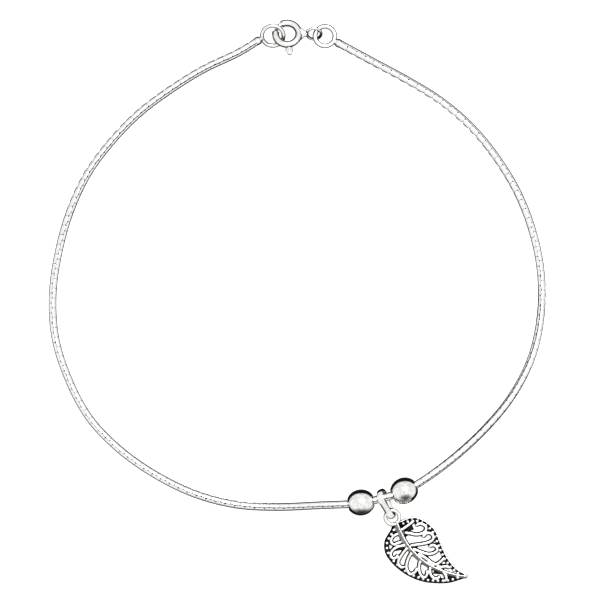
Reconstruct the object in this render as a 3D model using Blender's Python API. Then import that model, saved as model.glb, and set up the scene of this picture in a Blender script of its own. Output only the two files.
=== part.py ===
"""A silver anklet: a snake chain closed by a bolt ring, with two beads and a filigree leaf on a bail.

Metres, +Z up. The anklet lies on the plane z = 0, with the origin in the middle of its loop.
"""

import math

import bmesh
import bpy
import numpy as np
from mathutils import Matrix, Vector

MM = 0.001
UP = Vector((0, 0, 1))

# Clearances
LINK_GAP = 0.07 * MM  # between two links that pass through each other
SOLDER_GAP = 0.08 * MM  # between a chain end and the root that it sits in
RUNNING_GAP = 0.11 * MM  # round the bolt inside its tube, and round its stem in the slot

# Chain
CHAIN_DIA = 1.35 * MM
CHAIN_STEP = 3.1 * MM  # between two points of the tube
LINE_STEP = 0.25 * MM  # between two points of its centre line, before the tube thins them out
LIFT_RUN = 15 * MM  # the length over which the chain rises off the floor

# The chain's route in plan, chosen by hand: (x, y) in millimetres, from the left ring to the right one.
LEFT_BEAD_AT = (10.66, -33.49)
BAIL_AT = (14.15, -32.68)
RIGHT_BEAD_AT = (17.75, -31.60)
CHAIN_ROUTE = [
    (-9.7, 41.5), (-15.6, 38.7), (-21.1, 35.3), (-26.3, 31.4), (-30.9, 26.7), (-34.9, 21.3),
    (-37.8, 15.1), (-39.7, 8.4), (-40.7, 1.4), (-40.3, -5.9), (-38.1, -12.9), (-34.6, -19.4),
    (-29.5, -24.7), (-23.5, -28.9), (-17.1, -32.0), (-10.2, -33.8), (-3.3, -34.2), (3.5, -33.9),
    LEFT_BEAD_AT, BAIL_AT, RIGHT_BEAD_AT, (20.6, -30.0), (26.1, -26.0), (31.3, -21.2),
    (35.8, -15.7), (39.1, -9.2), (40.6, -2.2), (40.6, 4.9), (39.2, 11.8), (36.7, 18.2),
    (33.2, 24.0), (29.0, 29.1), (24.0, 33.4), (18.5, 36.8), (12.9, 39.8),
]

# Beads
BEAD_DIA = 4.4 * MM
BEAD_LENGTH = 4.8 * MM  # along the chain, before its ends are cut flat
BEAD_CLEAR = 0.20 * MM  # round the chain, on each side
BEAD_SIDES = 16
BEAD_ROWS = 10  # of faces from one flat to the other
BEAD_LEVEL = 0.25  # past a bead's middle the chain keeps its height for this share of the bead

# Rings of the clasp and of the chain's ends: (outer diameter, wire diameter)
CLASP_DIA = 5.05 * MM
CLASP_TUBE_DIA = 1.17 * MM
CLASP_WALL = 0.16 * MM
CLASP_AT = (-1.66 * MM, 44.60 * MM)
CLASP_LEAN = math.radians(21)  # its front edge stands off the floor
LEFT_RING_DIA = 4.30 * MM
LEFT_RING_WIRE = 0.70 * MM
RIGHT_RING_DIA = 4.10 * MM
RIGHT_RING_WIRE = 0.80 * MM
RIGHT_RING_LEAN = math.radians(6)
EYELET_DIA = 2.90 * MM
EYELET_WIRE = 0.52 * MM
NECK_LENGTH = 0.50 * MM  # from the clasp's tube to its tail eyelet
NECK_WIDTH = 1.00 * MM  # at the eyelet
NECK_FLARE = 2.0  # the neck's width inside the clasp's tube, as a share of that at the eyelet
NECK_THICK = 0.62 * MM
ROOT_LENGTH = 0.45 * MM  # of the solder between a ring and the chain's end
ROOT_FLARE = 1.2  # the root's width at its ring, as a share of the ring's wire
ROOT_TIP = 0.96  # its width at the chain, as a share of the chain
LINK_OVERLAP = 0.36  # the share of two linked rings' mean radii that overlaps in plan
LEFT_RING_SHIFT = -0.33 * MM  # each ring's centre, in y, from the link that it hangs in
RIGHT_RING_SHIFT = -0.40 * MM
LEFT_ROOT_TURN = math.radians(194)  # where the chain leaves its ring, from +X
RIGHT_ROOT_TURN = math.radians(-27)

# Bolt and its way through the clasp's tube, in degrees round the ring from its tail eyelet
MOUTH_FROM = 118
MOUTH_TO = 172
BOLT_REACH = 7  # how far the tip stands in the far mouth
KNOB_TURN = 277
BOLT_TRAVEL = 42
BOLT_TAIL = 12
CUT_PAST = 6  # how far the bore's cutter runs past the two mouth faces
ARC_STEP = 10
KNOB_ROOT = 1.42 * MM
KNOB_TIP = 0.80 * MM
KNOB_LENGTH = 1.15 * MM
KNOB_THICK = 0.80 * MM
STEM_DIA = 0.42 * MM
# Shares of the knob: along it, of its thickness, and of the way from its root's width to its tip's
KNOB_SHAPE = [(0, 1, 0), (0.55, 0.95, 0.5), (1, 0.75, 1)]

# Bail
BAIL_WIDTH = 1.10 * MM
BAIL_THICK = 0.55 * MM
BAIL_ROOM = 0.32 * MM  # between the chain and the bail's top bend
BAIL_LEAN = math.radians(20)

# Leaf: its axis runs from the eyelet's centre to the tip
LEAF_AT = (15.87 * MM, -35.94 * MM)
LEAF_TURN = math.radians(-37.8)
LEAF_LENGTH = 16.06 * MM
LEAF_WIDTH = 9.3 * MM
LEAF_EYELET_DIA = 3.00 * MM
LEAF_EYELET_WIRE = 0.66 * MM
RIM_WIRE = 0.28 * MM
RIM_WIDTH = 0.92 * MM
RIM_TAPER_RUN = 3.2 * MM  # the rim narrows over this length, to its wire alone at the tip
RIM_HEIGHT = 0.72 * MM
WEB_HEIGHT = 0.42 * MM
WEB_LEAST = 0.05  # the web's width at the tip, as a share of its full width
LEAF_STEP = 0.65 * MM  # between two points of a rim or the rib
GRANULE_DIA = 0.60 * MM
GRANULE_INSET = 0.52  # from the rim's wire to the granules' middles, as a share of their diameter
GRANULE_RISE = 1.2  # height of their middles, as a share of the web's
GRANULE_PITCH = 0.82 * MM
GRANULE_STOP = 1.6 * MM  # from the last granule to the leaf's tip
SCROLL_WIDTH = 0.66 * MM
SCROLL_HEIGHT = 0.95 * MM
SCROLL_STEP = 0.4 * MM
RIB_WIDTH = 1.10 * MM
RIB_HEIGHT = 1.42 * MM
RIB_TAPER = 0.5  # the rib's size at the tip, as a share of that at the eyelet
DOME_SHOULDER = 0.6  # a rounded top starts at this share of its height
DOME_CROWN = 0.4  # and is level over this share of its width
BACK_RELIEF = 0.05 * MM  # the scrolls' backs lie this much above the rim's

# Outlines and ribs of the leaf: (share of LEAF_LENGTH from the eyelet, share of LEAF_WIDTH to the side)
UPPER_EDGE = [
    (0.07, -0.02), (0.10, 0.09), (0.13, 0.18), (0.19, 0.27), (0.31, 0.325), (0.43, 0.305), (0.53, 0.215),
    (0.63, 0.115), (0.73, 0.035), (0.86, -0.005), (0.96, 0.01), (1.00, 0.0),
]
LOWER_EDGE = [
    (0.045, -0.10), (0.065, -0.19), (0.07, -0.30), (0.09, -0.44), (0.17, -0.59), (0.30, -0.66), (0.45, -0.67),
    (0.58, -0.63), (0.69, -0.555), (0.79, -0.445), (0.88, -0.315), (0.95, -0.155), (1.00, -0.02),
]
RIB_LINE = [
    (0.05, -0.03), (0.15, -0.125), (0.31, -0.24), (0.50, -0.29), (0.61, -0.28), (0.73, -0.23),
    (0.84, -0.165), (0.94, -0.08), (0.99, -0.02),
]
SCROLLS = {
    "upper_spur": [(0.15, -0.10), (0.175, 0.04), (0.20, 0.20)],
    "upper_first": [
        (0.19, -0.09), (0.25, -0.03), (0.305, 0.02), (0.345, 0.10), (0.355, 0.18), (0.335, 0.235),
        (0.285, 0.23), (0.255, 0.19), (0.245, 0.12),
    ],
    "upper_second": [
        (0.32, -0.21), (0.39, -0.09), (0.44, 0.005), (0.468, 0.09), (0.466, 0.16), (0.43, 0.195),
        (0.387, 0.165), (0.376, 0.10), (0.376, 0.035),
    ],
    "upper_third": [
        (0.36, -0.22), (0.465, -0.17), (0.527, -0.125), (0.567, -0.05), (0.575, 0.03),
        (0.542, 0.066), (0.504, 0.045), (0.488, -0.03),
    ],
    "upper_fourth": [
        (0.43, -0.25), (0.51, -0.215), (0.616, -0.21), (0.654, -0.19), (0.672, -0.125), (0.683, 0.01),
    ],
    "upper_last": [(0.67, -0.21), (0.715, -0.17), (0.745, -0.115), (0.80, -0.07)],
    "lower_first": [
        (0.15, -0.17), (0.128, -0.25), (0.13, -0.32), (0.152, -0.368), (0.187, -0.363), (0.205, -0.31),
        (0.235, -0.24),
    ],
    "lower_second": [
        (0.29, -0.25), (0.247, -0.32), (0.222, -0.39), (0.21, -0.465), (0.216, -0.53), (0.244, -0.572),
        (0.273, -0.565), (0.287, -0.515), (0.276, -0.46),
    ],
    "lower_third": [
        (0.315, -0.26), (0.313, -0.385), (0.318, -0.48), (0.327, -0.555), (0.354, -0.607),
        (0.392, -0.607), (0.415, -0.56),
    ],
    "lower_fourth": [
        (0.38, -0.28), (0.39, -0.40), (0.406, -0.48), (0.43, -0.55), (0.466, -0.595), (0.505, -0.608),
        (0.527, -0.563), (0.532, -0.50), (0.52, -0.44),
    ],
    "lower_fifth": [
        (0.50, -0.31), (0.537, -0.42), (0.578, -0.485), (0.624, -0.514), (0.649, -0.48), (0.641, -0.41),
        (0.615, -0.365),
    ],
    "lower_sixth": [
        (0.62, -0.29), (0.667, -0.375), (0.704, -0.406), (0.741, -0.397), (0.761, -0.35),
        (0.755, -0.30),
    ],
    "lower_last": [(0.75, -0.21), (0.796, -0.232), (0.827, -0.262), (0.84, -0.34)],
}


def mean_radius(outer_dia, wire_dia):
    return (outer_dia - wire_dia) / 2


CLASP_R = mean_radius(CLASP_DIA, CLASP_TUBE_DIA)
LEFT_R = mean_radius(LEFT_RING_DIA, LEFT_RING_WIRE)
RIGHT_R = mean_radius(RIGHT_RING_DIA, RIGHT_RING_WIRE)
EYELET_R = mean_radius(EYELET_DIA, EYELET_WIRE)
LEAF_EYELET_R = mean_radius(LEAF_EYELET_DIA, LEAF_EYELET_WIRE)


# Curves and frames


def smooth_curve(points, steps=12):
    """A centripetal Catmull-Rom curve through the points."""
    points = np.array(points, float)
    points = np.vstack([2 * points[0] - points[1], points, 2 * points[-1] - points[-2]])
    knots = np.concatenate([[0], np.cumsum(np.sqrt(np.linalg.norm(np.diff(points, axis=0), axis=1)))])
    curve = []
    for i in range(len(points) - 3):
        for t in np.linspace(knots[i + 1], knots[i + 2], steps, endpoint=False):
            first, second, third = (blend(points, knots, k, k + 1, t) for k in (i, i + 1, i + 2))
            first = mix(first, second, knots[i], knots[i + 2], t)
            second = mix(second, third, knots[i + 1], knots[i + 3], t)
            curve.append(mix(first, second, knots[i + 1], knots[i + 2], t))
    curve.append(points[-2])
    return np.array(curve)


def blend(points, knots, i, j, t):
    return mix(points[i], points[j], knots[i], knots[j], t)


def mix(first, second, start, end, t):
    """The point at t, between the first at start and the second at end."""
    return ((end - t) * first + (t - start) * second) / (end - start)


def lengths_along(curve):
    steps = np.linalg.norm(np.diff(curve, axis=0), axis=1)
    return np.concatenate([[0], np.cumsum(steps)])


def evenly(curve, spacing):
    """The curve again, at even steps of about this spacing."""
    along = lengths_along(curve)
    wanted = np.linspace(0, along[-1], max(2, round(along[-1] / spacing) + 1))
    return np.stack([np.interp(wanted, along, column) for column in curve.T], axis=1)


def leaning(at, lean):
    """The frame of a ring: its plane leans about X, with its back edge up where the lean is positive."""
    return Matrix.Translation(at) @ Matrix.Rotation(lean, 4, "X")


def ring_point(radius, turn):
    return Vector((radius * math.cos(turn), radius * math.sin(turn), 0))


def nearest_gap(first, second):
    """The least distance between two sets of points."""
    return np.linalg.norm(first[:, None] - second[None], axis=2).min()


def ring_line(radius, lean, at=(0, 0)):
    """A ring's centre line as an array of points."""
    turns = np.linspace(0, 2 * math.pi, 361)
    back = radius * np.sin(turns)
    return np.column_stack(
        [at[0] + radius * np.cos(turns), at[1] + back * math.cos(lean), back * math.sin(lean)]
    )


def lean_to_clear(radius, at, other_radius, other_lean, clear):
    """How far a ring leans back so that its centre line stays clear of another's, which leans forward."""
    other = ring_line(other_radius, -other_lean)
    low, high = 0.0, math.radians(85)
    for _ in range(20):
        lean = (low + high) / 2
        if nearest_gap(ring_line(radius, lean, at), other) < clear:
            low = lean
        else:
            high = lean
    return high


# Where the rings lie

LEFT_RING_AT = (-(LEFT_R + CLASP_R) * (1 - LINK_OVERLAP), LEFT_RING_SHIFT)
LEFT_RING_LEAN = lean_to_clear(
    LEFT_R, LEFT_RING_AT, CLASP_R, CLASP_LEAN, (LEFT_RING_WIRE + CLASP_TUBE_DIA) / 2 + LINK_GAP
)
RIGHT_RING_AT = ((RIGHT_R + EYELET_R) * (1 - LINK_OVERLAP), RIGHT_RING_SHIFT)
EYELET_LEAN = lean_to_clear(
    EYELET_R, [-offset for offset in RIGHT_RING_AT], RIGHT_R, RIGHT_RING_LEAN,
    (RIGHT_RING_WIRE + EYELET_WIRE) / 2 + LINK_GAP,
)
LINK_Z = max(
    wire / 2 + radius * math.sin(lean)
    for radius, wire, lean in (
        (CLASP_R, CLASP_TUBE_DIA, CLASP_LEAN),
        (LEFT_R, LEFT_RING_WIRE, LEFT_RING_LEAN),
        (EYELET_R, EYELET_WIRE, EYELET_LEAN),
        (RIGHT_R, RIGHT_RING_WIRE, RIGHT_RING_LEAN),
    )
)
CLASP_CENTRE = Vector((*CLASP_AT, LINK_Z))
LEFT_CENTRE = CLASP_CENTRE + Vector((*LEFT_RING_AT, 0))
EYELET_CENTRE = CLASP_CENTRE + Vector((CLASP_DIA / 2 + NECK_LENGTH + EYELET_DIA / 2, 0, 0))
RIGHT_CENTRE = EYELET_CENTRE + Vector((*RIGHT_RING_AT, 0))
CLASP_FRAME = leaning(CLASP_CENTRE, -CLASP_LEAN)
EYELET_FRAME = leaning(EYELET_CENTRE, EYELET_LEAN)
LEFT_FRAME = leaning(LEFT_CENTRE, LEFT_RING_LEAN)
RIGHT_FRAME = leaning(RIGHT_CENTRE, -RIGHT_RING_LEAN)


def root_ends(frame, radius, wire, turn, towards):
    """A ring's solder root: from inside its wire, level, towards a place on the chain's route."""
    start = frame @ ring_point(radius, turn)
    heading = Vector((towards[0] * MM - start.x, towards[1] * MM - start.y, 0)).normalized()
    return start, start + heading * (wire / 2 + ROOT_LENGTH)


LEFT_ROOT = root_ends(LEFT_FRAME, LEFT_R, LEFT_RING_WIRE, LEFT_ROOT_TURN, CHAIN_ROUTE[0])
RIGHT_ROOT = root_ends(RIGHT_FRAME, RIGHT_R, RIGHT_RING_WIRE, RIGHT_ROOT_TURN, CHAIN_ROUTE[-1])


# Chain line


def chain_line():
    """The chain's smooth centre line: resting on the floor, but lifted by its beads and by the clasp."""
    first, last = (end + (end - start).normalized() * SOLDER_GAP for start, end in (LEFT_ROOT, RIGHT_ROOT))
    plan = [first[:2], *(np.array(CHAIN_ROUTE) * MM), last[:2]]
    line = evenly(smooth_curve(plan), LINE_STEP)
    along = lengths_along(line)
    beads = [along[nearest_index(line, at)] for at in (LEFT_BEAD_AT, RIGHT_BEAD_AT)]
    floor = CHAIN_DIA / 2
    from_beads = np.maximum(np.maximum(beads[0] - along, along - beads[1]) - BEAD_DIA * BEAD_LEVEL, 0)
    height = floor + (BEAD_DIA / 2 - floor) * fade(from_beads / LIFT_RUN)
    height += (first.z - floor) * fade(along / LIFT_RUN)
    height += (last.z - floor) * fade((along[-1] - along) / LIFT_RUN)
    return np.column_stack([line, height])


def fade(share):
    """1 at 0, easing to 0 at 1 and staying there."""
    share = np.clip(share, 0, 1)
    return 1 - share * share * (3 - 2 * share)


def nearest_index(line, at):
    return int(np.linalg.norm(line[:, :2] - np.array(at) * MM, axis=1).argmin())


def place_on(line, at, length):
    """The middle and the direction of a stretch of the line, as long as the piece that it runs through."""
    i = nearest_index(line, at)
    reach = round(length / 2 / LINE_STEP)
    before, after = line[i - reach], line[i + reach]
    return Vector((before + 2 * line[i] + after) / 4), Vector(after - before).normalized()


# Making objects


def silver(name, value, roughness):
    material = bpy.data.materials.new(name)
    material.use_nodes = True
    shader = material.node_tree.nodes["Principled BSDF"]
    shader.inputs["Base Color"].default_value = (value, value, value * 0.98, 1)
    shader.inputs["Metallic"].default_value = 1
    shader.inputs["Roughness"].default_value = roughness
    return material


def add_object(name, bm, material=None, helper=False):
    """A mesh object from a bmesh, its faces turned outwards. A helper only shapes another object."""
    bmesh.ops.remove_doubles(bm, verts=bm.verts, dist=1e-7)
    bmesh.ops.recalc_face_normals(bm, faces=bm.faces)
    mesh = bpy.data.meshes.new(name)
    bm.to_mesh(mesh)
    bm.free()
    obj = bpy.data.objects.new(name, mesh)
    bpy.context.scene.collection.objects.link(obj)
    if helper:
        obj.hide_render = True
        obj.display_type = "WIRE"
    else:
        mesh.shade_smooth()
        mesh.set_sharp_from_angle(angle=math.radians(40))
        mesh.materials.append(material)
    return obj


def boolean(obj, other, operation):
    modifier = obj.modifiers.new(f"{operation.title()} {other.name}", "BOOLEAN")
    modifier.operation = operation
    modifier.solver = "EXACT"
    modifier.object = other


def round_section(width, height, sides):
    turns = [2 * math.pi * (i + 0.5) / sides for i in range(sides)]
    return [(width / 2 * math.cos(turn), height / 2 * math.sin(turn)) for turn in turns]


def sweep(bm, path, sections, up=UP, closed=False):
    """Skins one section for each point of a path. A section's pairs are lengths to the left and up."""
    path = [Vector(point) for point in path]
    rings = []
    for i, (point, section) in enumerate(zip(path, sections)):
        before = path[i - 1] if i or closed else point
        after = path[(i + 1) % len(path)] if i + 1 < len(path) or closed else point
        left = up.cross(after - before).normalized()
        lift = (after - before).cross(left).normalized()
        rings.append([bm.verts.new(point + left * a + lift * b) for a, b in section])
    for near, far in zip(rings, rings[1:] + rings[:1] * closed):
        for i in range(len(near)):
            bm.faces.new((near[i - 1], near[i], far[i], far[i - 1]))
    if not closed:
        bm.faces.new(rings[0])
        bm.faces.new(reversed(rings[-1]))


def arc_points(frame, radius, start, end, step):
    """Points round a ring from one angle to another, in degrees."""
    count = max(2, round(abs(end - start) / step) + 1)
    return [frame @ ring_point(radius, math.radians(turn)) for turn in np.linspace(start, end, count)]


def frame_up(frame):
    return (frame.to_3x3() @ UP).normalized()


def wire_ring(bm, frame, radius, wire, sides=10, around=28):
    path = arc_points(frame, radius, 0, 360, 360 / around)[:-1]
    section = round_section(wire, wire, sides)
    sweep(bm, path, [section] * len(path), frame_up(frame), closed=True)


def cone(bm, start, end, start_dia, end_dia, sides=10):
    """A short round piece between two points."""
    side = Vector((end - start).normalized()).orthogonal()
    ends = [round_section(dia, dia, sides) for dia in (start_dia, end_dia)]
    sweep(bm, [start, end], ends, side)


# Pieces


def make_chain(line):
    points = evenly(line, CHAIN_STEP)
    curve = bpy.data.curves.new("snake_chain", "CURVE")
    curve.dimensions = "3D"
    curve.bevel_depth = CHAIN_DIA / 2
    curve.bevel_resolution = 3
    curve.use_fill_caps = True
    curve.render_resolution_u = 0
    spline = curve.splines.new("POLY")
    spline.points.add(len(points) - 1)
    for spot, point in zip(spline.points, points):
        spot.co = (*point, 1)
    obj = bpy.data.objects.new("snake_chain", curve)
    bpy.context.scene.collection.objects.link(obj)
    curve.materials.append(silver("chain silver", 0.80, 0.22))


def make_bead(name, line, at):
    """A slightly long ball, flattened where the chain goes in, turned round its bore."""
    bore = CHAIN_DIA / 2 + BEAD_CLEAR
    radius = BEAD_DIA / 2
    mouth = math.asin(bore / radius)
    outer = [mouth + (math.pi - 2 * mouth) * i / BEAD_ROWS for i in range(BEAD_ROWS + 1)]
    bm = bmesh.new()
    profile = [bm.verts.new((radius * math.sin(a), 0, BEAD_LENGTH / 2 * math.cos(a))) for a in outer]
    for near, far in zip(profile, profile[1:] + profile[:1]):
        bm.edges.new((near, far))
    bmesh.ops.spin(
        bm, geom=bm.verts[:] + bm.edges[:], cent=(0, 0, 0), axis=UP, angle=2 * math.pi,
        steps=BEAD_SIDES, use_merge=True,
    )
    centre, heading = place_on(line, at, BEAD_LENGTH)
    bm.transform(Matrix.Translation(centre) @ heading.to_track_quat("Z", "Y").to_matrix().to_4x4())
    add_object(name, bm, silver(name, 0.84, 0.08))


def make_end_ring(name, frame, radius, wire, root):
    bm = bmesh.new()
    wire_ring(bm, frame, radius, wire)
    ring = add_object(name, bm, silver(name, 0.82, 0.15))
    bm = bmesh.new()
    cone(bm, *root, wire * ROOT_FLARE, CHAIN_DIA * ROOT_TIP)
    boolean(ring, add_object(f"{name} root", bm, helper=True), "UNION")


def make_clasp_ring():
    """The hollow ring with its tail eyelet, its mouth, and the slot that the knob runs in."""
    up = frame_up(CLASP_FRAME)
    bm = bmesh.new()
    path = arc_points(CLASP_FRAME, CLASP_R, MOUTH_TO, MOUTH_FROM + 360, ARC_STEP)
    sweep(bm, path, [round_section(CLASP_TUBE_DIA, CLASP_TUBE_DIA, 12)] * len(path), up)
    ring = add_object("clasp_ring", bm, silver("clasp_ring", 0.82, 0.14))

    bm = bmesh.new()
    wire_ring(bm, EYELET_FRAME, EYELET_R, EYELET_WIRE, sides=8, around=20)
    boolean(ring, add_object("tail eyelet", bm, helper=True), "UNION")
    bm = bmesh.new()
    neck = [CLASP_FRAME @ ring_point(CLASP_R, 0), EYELET_FRAME @ ring_point(EYELET_R, math.pi)]
    sweep(bm, neck, [round_section(NECK_WIDTH * flare, NECK_THICK, 10) for flare in (NECK_FLARE, 1)])
    boolean(ring, add_object("tail neck", bm, helper=True), "UNION")

    bm = bmesh.new()
    bore = CLASP_TUBE_DIA - 2 * CLASP_WALL
    path = arc_points(
        CLASP_FRAME, CLASP_R, MOUTH_TO - CUT_PAST, MOUTH_FROM + 360 + CUT_PAST, ARC_STEP
    )
    sweep(bm, path, [round_section(bore, bore, 10)] * len(path), up)
    boolean(ring, add_object("clasp bore", bm, helper=True), "DIFFERENCE")
    bm = bmesh.new()
    half_width = STEM_DIA / 2 + RUNNING_GAP
    half_turn = math.degrees(half_width / CLASP_R)
    path = arc_points(
        CLASP_FRAME, CLASP_R, KNOB_TURN - half_turn, KNOB_TURN + BOLT_TRAVEL + half_turn, ARC_STEP
    )
    depth = -CLASP_TUBE_DIA
    section = [(0, -half_width), (0, half_width), (depth, half_width), (depth, -half_width)]
    sweep(bm, path, [section] * len(path), up)
    boolean(ring, add_object("clasp slot", bm, helper=True), "DIFFERENCE")


def make_clasp_bolt():
    """The curved bolt, with the stem and thumb knob that pull it back."""
    up = frame_up(CLASP_FRAME)
    bolt_dia = CLASP_TUBE_DIA - 2 * CLASP_WALL - 2 * RUNNING_GAP
    bm = bmesh.new()
    path = arc_points(CLASP_FRAME, CLASP_R, MOUTH_FROM - BOLT_REACH, KNOB_TURN + BOLT_TAIL, ARC_STEP)
    sweep(bm, path, [round_section(bolt_dia, bolt_dia, 8)] * len(path), up)
    bolt = add_object("clasp_bolt", bm, silver("clasp_bolt", 0.82, 0.12))
    bm = bmesh.new()
    turn = math.radians(KNOB_TURN)
    base = CLASP_R + CLASP_TUBE_DIA / 2 + RUNNING_GAP
    cone(
        bm, CLASP_FRAME @ ring_point(CLASP_R, turn), CLASP_FRAME @ ring_point(base + KNOB_LENGTH / 2, turn),
        STEM_DIA, STEM_DIA, sides=8,
    )
    boolean(bolt, add_object("bolt stem", bm, helper=True), "UNION")
    bm = bmesh.new()
    ends = [CLASP_FRAME @ ring_point(base + KNOB_LENGTH * along, turn) for along, _, _ in KNOB_SHAPE]
    sections = [
        round_section(KNOB_THICK * depth, KNOB_ROOT + (KNOB_TIP - KNOB_ROOT) * narrowing, 12)
        for _, depth, narrowing in KNOB_SHAPE
    ]
    tangent = (CLASP_FRAME.to_3x3() @ ring_point(1, turn + math.pi / 2)).normalized()
    sweep(bm, ends, sections, tangent)
    boolean(bolt, add_object("bolt knob", bm, helper=True), "UNION")


def make_bail(line):
    """A flat loop round the chain and through the leaf's eyelet."""
    eyelet = leaf_eyelet()
    top, _ = place_on(line, BAIL_AT, BAIL_WIDTH)
    level = Vector((eyelet.x - top.x, eyelet.y - top.y, 0)).normalized()
    band = eyelet - level * LEAF_EYELET_R
    down = (band - top).normalized()
    across = level.cross(UP)
    top_r = CHAIN_DIA / 2 + BAIL_ROOM + BAIL_THICK / 2
    end_rise = LEAF_EYELET_WIRE / 2 + LINK_GAP + BAIL_THICK / 2
    end_reach = LEAF_EYELET_R - LINK_GAP
    loop = []
    for centre, ahead, reach, lift, turns in (
        (top, down, top_r, top_r, range(90, 271, 20)),
        (band, level, end_reach, end_rise, range(-90, 91, 30)),
    ):
        rise = Matrix.Rotation(BAIL_LEAN, 3, ahead) @ across.cross(ahead).normalized()
        for turn in map(math.radians, turns):
            loop.append(centre + ahead * reach * math.cos(turn) + rise * lift * math.sin(turn))
    bm = bmesh.new()
    section = round_section(BAIL_THICK, BAIL_WIDTH, 8)
    sweep(bm, loop, [section] * len(loop), across, closed=True)
    add_object("bail", bm, silver("bail", 0.82, 0.12))


# Leaf


def on_leaf(share, z=0.0):
    """The point at a share of the leaf's length and of its width, as (x, y, z)."""
    along = Vector((math.cos(LEAF_TURN), math.sin(LEAF_TURN), 0))
    across = UP.cross(along)
    at = Vector((*LEAF_AT, z))
    return at + along * share[0] * LEAF_LENGTH + across * share[1] * LEAF_WIDTH


def leaf_line(shares, z=0.0, spacing=LEAF_STEP):
    return evenly(smooth_curve([on_leaf(share, z) for share in shares]), spacing)


def leaf_eyelet():
    """The eyelet's centre, with room for the bail between its wire and the floor."""
    return Vector((*LEAF_AT, LEAF_EYELET_WIRE / 2 + BAIL_THICK + 2 * LINK_GAP))


def domed(width, height):
    """A flat-backed section with a rounded top."""
    side, crown, shoulder = width / 2, width / 2 * DOME_CROWN, height * DOME_SHOULDER
    return [(-side, 0), (side, 0), (side, shoulder), (crown, height), (-crown, height), (-side, shoulder)]


def rim_sections(line, inwards):
    """The rim's outer wire, and inside it the lower web that carries the granules and ends at the tip."""
    along = lengths_along(line)
    web = (RIM_WIDTH - RIM_WIRE) * np.clip((along[-1] - along) / RIM_TAPER_RUN, WEB_LEAST, 1)
    return [
        [
            (inwards * offset, height)
            for offset, height in (
                (0, 0), (0, RIM_HEIGHT), (RIM_WIRE, RIM_HEIGHT), (RIM_WIRE, WEB_HEIGHT),
                (RIM_WIRE + width, WEB_HEIGHT), (RIM_WIRE + width, 0),
            )
        ]
        for width in web
    ]


def granule_places(edge, inwards):
    """Places for a row of granules just inside the rim's outer wire, an even pitch apart."""
    inset = RIM_WIRE + GRANULE_DIA * GRANULE_INSET
    line = leaf_line(edge)
    heading = np.gradient(line, axis=0)
    heading /= np.linalg.norm(heading, axis=1)[:, None]
    left = np.column_stack([-heading[:, 1], heading[:, 0], 0 * heading[:, 0]])
    track = evenly(line + left * inset * inwards, GRANULE_PITCH)
    to_tip = lengths_along(track)[::-1]
    kept = track[1:][to_tip[1:] > GRANULE_STOP]
    return [Vector(point) + UP * WEB_HEIGHT * GRANULE_RISE for point in kept]


def make_leaf():
    """One casting: rim with granules, scrolls, midrib and eyelet, pierced between them."""
    pieces = bpy.data.collections.new("leaf pieces")
    bpy.context.scene.collection.children.link(pieces)

    def add_piece(name, bm):
        piece = add_object(name, bm, helper=True)
        bpy.context.scene.collection.objects.unlink(piece)
        pieces.objects.link(piece)

    for name, edge, inwards in (("upper rim", UPPER_EDGE, -1), ("lower rim", LOWER_EDGE, 1)):
        line = leaf_line(edge)
        bm = bmesh.new()
        sweep(bm, line, rim_sections(line, inwards))
        add_piece(name, bm)
        bm = bmesh.new()
        for place in granule_places(edge, inwards):
            bmesh.ops.create_icosphere(
                bm, subdivisions=2, radius=GRANULE_DIA / 2, matrix=Matrix.Translation(place)
            )
        add_piece(f"{name} granules", bm)
    for name, shares in SCROLLS.items():
        line = leaf_line(shares, BACK_RELIEF, SCROLL_STEP)
        bm = bmesh.new()
        sweep(bm, line, [domed(SCROLL_WIDTH, SCROLL_HEIGHT - BACK_RELIEF)] * len(line))
        add_piece(name, bm)
    bm = bmesh.new()
    wire_ring(bm, Matrix.Translation(leaf_eyelet()), LEAF_EYELET_R, LEAF_EYELET_WIRE, sides=10, around=24)
    add_piece("leaf eyelet", bm)

    bm = bmesh.new()
    line = leaf_line(RIB_LINE, BACK_RELIEF / 2)
    sizes = np.linspace(1, RIB_TAPER, len(line))
    sweep(bm, line, [domed(RIB_WIDTH * size, RIB_HEIGHT * size) for size in sizes])
    leaf = add_object("leaf_charm", bm, silver("leaf_charm", 0.70, 0.30))
    modifier = leaf.modifiers.new("Join the casting", "BOOLEAN")
    modifier.operation = "UNION"
    modifier.solver = "EXACT"
    modifier.operand_type = "COLLECTION"
    modifier.collection = pieces


def main():
    for obj in list(bpy.data.objects):
        bpy.data.objects.remove(obj, do_unlink=True)
    line = chain_line()
    make_chain(line)
    make_bead("bead_left", line, LEFT_BEAD_AT)
    make_bead("bead_right", line, RIGHT_BEAD_AT)
    make_end_ring("end_ring_left", LEFT_FRAME, LEFT_R, LEFT_RING_WIRE, LEFT_ROOT)
    make_end_ring("end_ring_right", RIGHT_FRAME, RIGHT_R, RIGHT_RING_WIRE, RIGHT_ROOT)
    make_clasp_ring()
    make_clasp_bolt()
    make_leaf()
    make_bail(line)


main()
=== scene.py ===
"""The looks of a silver anklet that lies on a pale table, seen from straight above.

Every mesh is worked in millimetres and brought to metres when it is finished. The snake chain, the leaf, the
beads, the bail and the clasp's pieces replace the plain solids that they follow.
"""

import math

import bmesh
import bpy
import numpy as np
from mathutils import Matrix, Vector
from mathutils.bvhtree import BVHTree


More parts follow.
